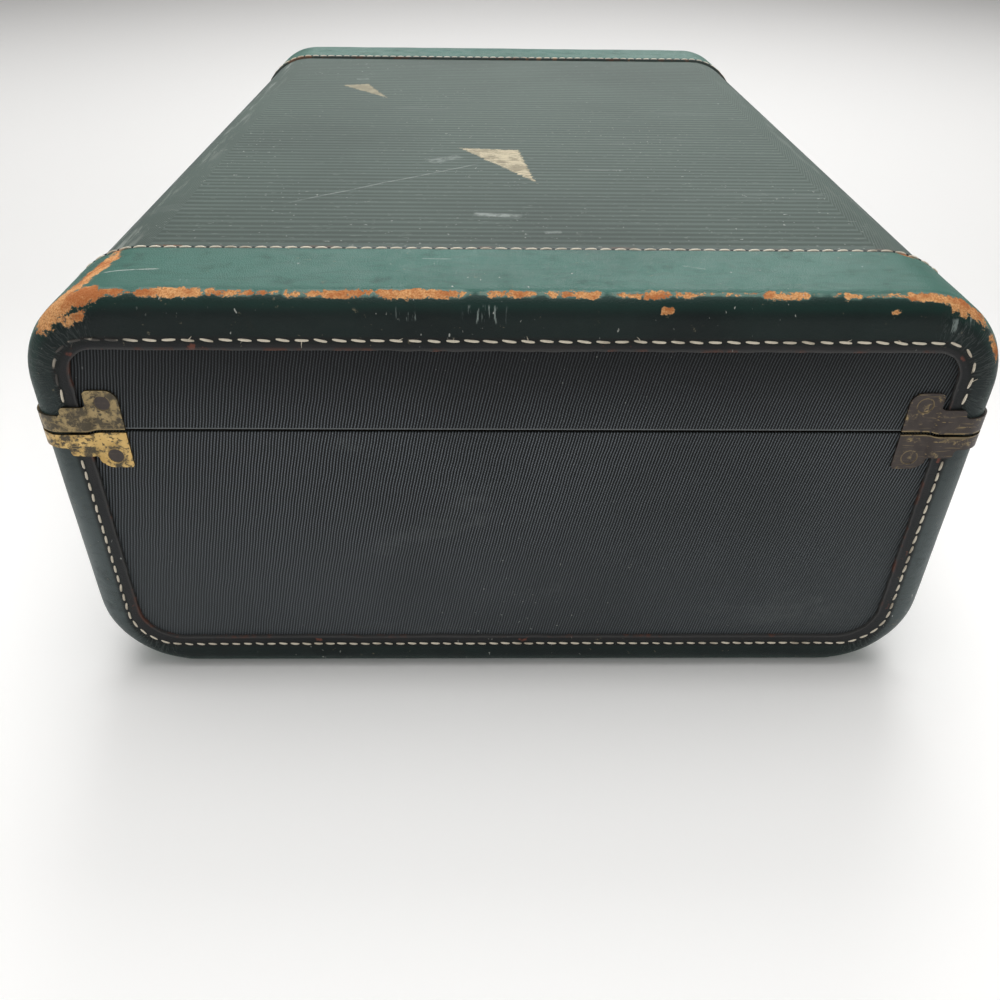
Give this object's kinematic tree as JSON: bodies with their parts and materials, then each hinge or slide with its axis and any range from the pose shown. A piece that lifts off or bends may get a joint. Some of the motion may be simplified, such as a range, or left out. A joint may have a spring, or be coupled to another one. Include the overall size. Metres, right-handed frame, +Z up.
{
  "type": "hard-shell suitcase",
  "caption": "Leather-bound canvas suitcase with metal corners: hinged lid, two sprung slide locks with swinging hasps, a hinged carrying handle, packing straps and a gathered lid pocket.",
  "frame": {"origin": "on the floor under the middle of the closed case", "axes": "+Z up, +Y along the case, +X towards the locks and the handle, -X towards the hinges"},
  "size_m": [0.352, 0.4586, 0.165],
  "materials": {
    "board": "thick grey-brown case board, unfinished",
    "canvas": "woven slate canvas, matt, fine diagonal weave",
    "lining_cloth": "buff cotton lining",
    "bare_wood": "bare beech, smooth",
    "binding_leather": "dark bottle green hide, satin, worn to tan along its edges",
    "corner_brass": "darkened brass, rubbed bright in places",
    "fitting_brass": "old brass, satin",
    "nail_brass": "old brass, satin",
    "pin_steel": "bright drawn steel",
    "strap_leather": "brown strap leather",
    "pocket_cloth": "gathered buff cotton",
    "grip_leather": "dark bottle green hide, padded and stitched"
  },
  "bodies": {
    "base": {"base_shell": "board", "base_cover": "canvas", "base_lining": "lining_cloth", "rim_tongue": "bare_wood", "base_binding_near": "binding_leather", "base_corner_plate_near_left": "corner_brass", "base_corner_plate_near_right": "corner_brass", "hinge_base_leaf_near": "fitting_brass", "hinge_pin_near": "pin_steel", "lock_case_near": "fitting_brass", "lock_spring_near": "pin_steel", "handle_plate_near": "fitting_brass", "handle_pin_near": "pin_steel", "packing_strap_near": "strap_leather", "strap_buckle_near": "fitting_brass", "base_binding_far": "binding_leather", "base_corner_plate_far_left": "corner_brass", "base_corner_plate_far_right": "corner_brass", "hinge_base_leaf_far": "fitting_brass", "hinge_pin_far": "pin_steel", "lock_case_far": "fitting_brass", "lock_spring_far": "pin_steel", "handle_plate_far": "fitting_brass", "handle_pin_far": "pin_steel", "packing_strap_far": "strap_leather", "strap_buckle_far": "fitting_brass", "base_corner_nails": "nail_brass", "hinge_base_nails": "nail_brass", "lock_nails": "nail_brass", "handle_nails": "nail_brass", "foot_studs": "nail_brass"},
    "lid": {"lid_shell": "board", "lid_cover": "canvas", "lid_lining": "lining_cloth", "lid_binding_near": "binding_leather", "lid_corner_plate_near_left": "corner_brass", "lid_corner_plate_near_right": "corner_brass", "hinge_lid_leaf_near": "fitting_brass", "hasp_plate_near": "fitting_brass", "hasp_pin_near": "pin_steel", "lid_binding_far": "binding_leather", "lid_corner_plate_far_left": "corner_brass", "lid_corner_plate_far_right": "corner_brass", "hinge_lid_leaf_far": "fitting_brass", "hasp_plate_far": "fitting_brass", "hasp_pin_far": "pin_steel", "lid_corner_nails": "nail_brass", "hinge_lid_nails": "nail_brass", "hasp_plate_nails": "nail_brass", "lid_pocket": "pocket_cloth", "pocket_hem": "pocket_cloth"},
    "hasp_near": {"hasp_near": "fitting_brass"},
    "lock_button_near": {"lock_button_near": "fitting_brass"},
    "hasp_far": {"hasp_far": "fitting_brass"},
    "lock_button_far": {"lock_button_far": "fitting_brass"},
    "handle": {"handle_grip": "grip_leather", "handle_end_near": "fitting_brass", "handle_end_far": "fitting_brass"}
  },
  "joints": [
    {"name": "lid_hinge", "type": "hinge", "parent": "base", "child": "lid", "pos_m": [-0.16645, 0, 0.1145], "axis": [0, -1, 0], "range_deg": [0, 105]},
    {"name": "handle_swing", "type": "hinge", "parent": "base", "child": "handle", "pos_m": [0.1694, 0, 0.082], "axis": [0, -1, 0], "range_deg": [0, 173]},
    {"name": "hasp_near_hinge", "type": "hinge", "parent": "lid", "child": "hasp_near", "pos_m": [0.1676, -0.122, 0.1225], "axis": [0, -1, 0], "range_deg": [0, 110]},
    {"name": "lock_button_near_slide", "type": "slide", "parent": "base", "child": "lock_button_near", "axis": [0, -1, 0], "range_m": [0, 0.004], "stiffness_N_per_m": 150, "springref_m": -0.002, "deforming": ["lock_spring_near"]},
    {"name": "hasp_far_hinge", "type": "hinge", "parent": "lid", "child": "hasp_far", "pos_m": [0.1676, 0.122, 0.1225], "axis": [0, -1, 0], "range_deg": [0, 110]},
    {"name": "lock_button_far_slide", "type": "slide", "parent": "base", "child": "lock_button_far", "axis": [0, 1, 0], "range_m": [0, 0.004], "stiffness_N_per_m": 150, "springref_m": -0.002, "deforming": ["lock_spring_far"]}
  ]
}
